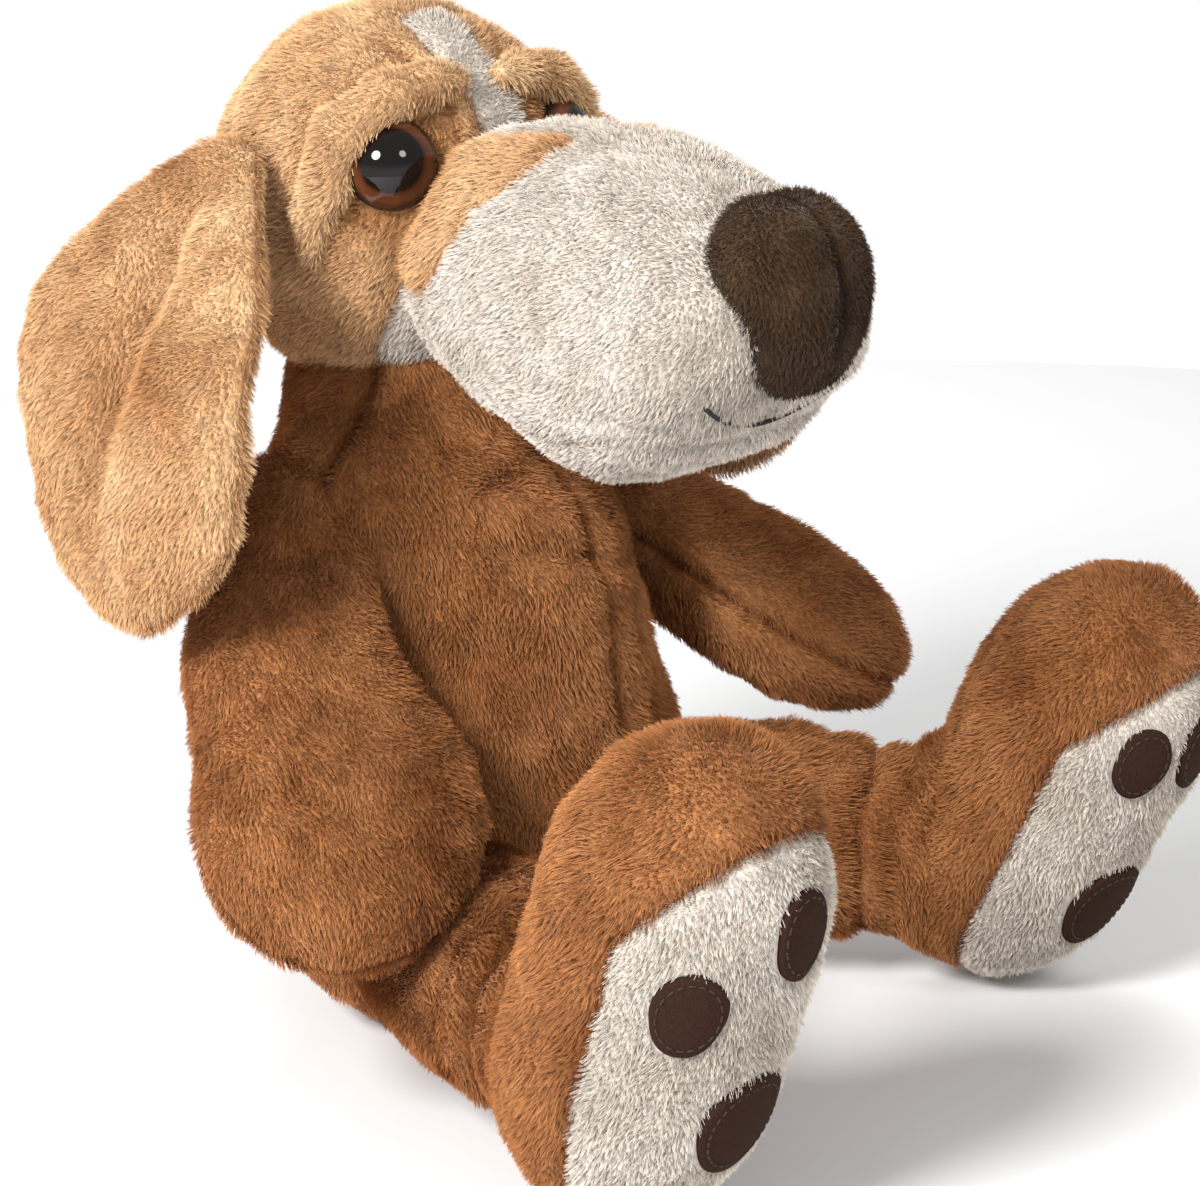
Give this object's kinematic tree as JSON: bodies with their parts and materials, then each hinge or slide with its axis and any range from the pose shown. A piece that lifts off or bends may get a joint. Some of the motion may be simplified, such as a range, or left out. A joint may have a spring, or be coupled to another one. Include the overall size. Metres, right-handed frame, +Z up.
{
  "type": "plush dog",
  "caption": "Sitting plush dog with drooping ears, a long muzzle and big padded feet; the head, ears, arms, legs, feet and tail move.",
  "frame": {"origin": "on the surface that it sits on, at the middle of the flat seat under the torso", "axes": "+Z up, -Y the way the torso and feet face, +X to the dog's left"},
  "size_m": [0.2655, 0.2937, 0.295],
  "materials": {
    "brown_plush": "short pile",
    "tan_plush": "short pile",
    "cream_plush": "short pile",
    "nose_plush": "short pile",
    "pad_felt": "felt",
    "filling": "loose fibre",
    "bead_bag": "plain weave",
    "eye_plastic": "gloss",
    "washer_plastic": "matte",
    "black_thread": "thread"
  },
  "bodies": {
    "torso": {"torso_front_right": "brown_plush", "torso_front_left": "brown_plush", "torso_back_right": "brown_plush", "torso_back_left": "brown_plush", "seat_panel": "brown_plush", "torso_stuffing": "filling", "bean_bag": "bead_bag"},
    "neck": {"neck_stuffing": "filling"},
    "head": {"head_side_right": "tan_plush", "head_side_left": "tan_plush", "head_gusset_right": "tan_plush", "head_gusset_left": "tan_plush", "head_blaze": "cream_plush", "head_back": "tan_plush", "chin_panel": "cream_plush", "head_stuffing": "filling", "muzzle_band_right": "tan_plush", "muzzle_band_left": "tan_plush", "muzzle_right": "cream_plush", "muzzle_left": "cream_plush", "muzzle_chin": "cream_plush", "muzzle_stuffing": "filling", "mouth_stitch": "black_thread", "nose_right": "nose_plush", "nose_left": "nose_plush", "nose_stuffing": "filling", "eye_right": "eye_plastic", "eye_left": "eye_plastic", "eye_washer_right": "washer_plastic", "eye_washer_left": "washer_plastic", "eyelid_right": "tan_plush", "eyelid_left": "tan_plush"},
    "tail": {"tail_cover": "brown_plush", "tail_stuffing": "filling"},
    "ear_right": {"ear_right_outer": "tan_plush", "ear_right_inner": "tan_plush"},
    "arm_right": {"arm_right_outer": "brown_plush", "arm_right_inner": "brown_plush", "arm_right_stuffing": "filling"},
    "leg_right": {"leg_right_outer": "brown_plush", "leg_right_inner": "brown_plush", "leg_right_stuffing": "filling"},
    "foot_right": {"foot_right_upper": "brown_plush", "foot_right_sole": "cream_plush", "foot_right_toe_pads": "pad_felt", "foot_right_heel_pad": "pad_felt", "foot_right_stuffing": "filling"},
    "ear_left": {"ear_left_outer": "tan_plush", "ear_left_inner": "tan_plush"},
    "arm_left": {"arm_left_outer": "brown_plush", "arm_left_inner": "brown_plush", "arm_left_stuffing": "filling"},
    "leg_left": {"leg_left_outer": "brown_plush", "leg_left_inner": "brown_plush", "leg_left_stuffing": "filling"},
    "foot_left": {"foot_left_upper": "brown_plush", "foot_left_sole": "cream_plush", "foot_left_toe_pads": "pad_felt", "foot_left_heel_pad": "pad_felt", "foot_left_stuffing": "filling"}
  },
  "joints": [
    {"name": "neck_turn", "type": "hinge", "parent": "torso", "child": "neck", "pos_m": [0, 0.012, 0.182], "axis": [0, 0, 1], "range_deg": [-20, 20]},
    {"name": "head_nod", "type": "hinge", "parent": "neck", "child": "head", "pos_m": [0, 0.012, 0.182], "axis": [0.9848, -0.1736, 0], "range_deg": [-8, 12]},
    {"name": "ear_right_lift", "type": "hinge", "parent": "head", "child": "ear_right", "pos_m": [-0.0515, 0.02514, 0.263], "axis": [0.1736, 0.9848, 0], "range_deg": [0, 60]},
    {"name": "arm_right_swing", "type": "hinge", "parent": "torso", "child": "arm_right", "pos_m": [-0.054, 0.009, 0.152], "axis": [-0.8192, 0, 0.5736], "range_deg": [-18, 25]},
    {"name": "leg_right_splay", "type": "hinge", "parent": "torso", "child": "leg_right", "pos_m": [-0.048, -0.02, 0.048], "axis": [0, 0, -1], "range_deg": [-8, 0]},
    {"name": "foot_right_bend", "type": "hinge", "parent": "leg_right", "child": "foot_right", "pos_m": [-0.08791, -0.11588, 0.04256], "axis": [0.9962, -0.0872, 0], "range_deg": [-12, 12]},
    {"name": "ear_left_lift", "type": "hinge", "parent": "head", "child": "ear_left", "pos_m": [0.05289, 0.00674, 0.263], "axis": [-0.1736, -0.9848, 0], "range_deg": [0, 60]},
    {"name": "arm_left_swing", "type": "hinge", "parent": "torso", "child": "arm_left", "pos_m": [0.054, 0.009, 0.152], "axis": [-0.8192, 0, -0.5736], "range_deg": [-30, 10]},
    {"name": "leg_left_splay", "type": "hinge", "parent": "torso", "child": "leg_left", "pos_m": [0.048, -0.02, 0.048], "axis": [0, 0, 1], "range_deg": [-8, 22]},
    {"name": "foot_left_bend", "type": "hinge", "parent": "leg_left", "child": "foot_left", "pos_m": [0.08791, -0.11588, 0.04256], "axis": [0.9962, 0.0872, 0], "range_deg": [-12, 12]},
    {"name": "tail_wag", "type": "hinge", "parent": "torso", "child": "tail", "pos_m": [0, 0.064, 0.032], "axis": [0, 0, 1], "range_deg": [-20, 20]}
  ]
}
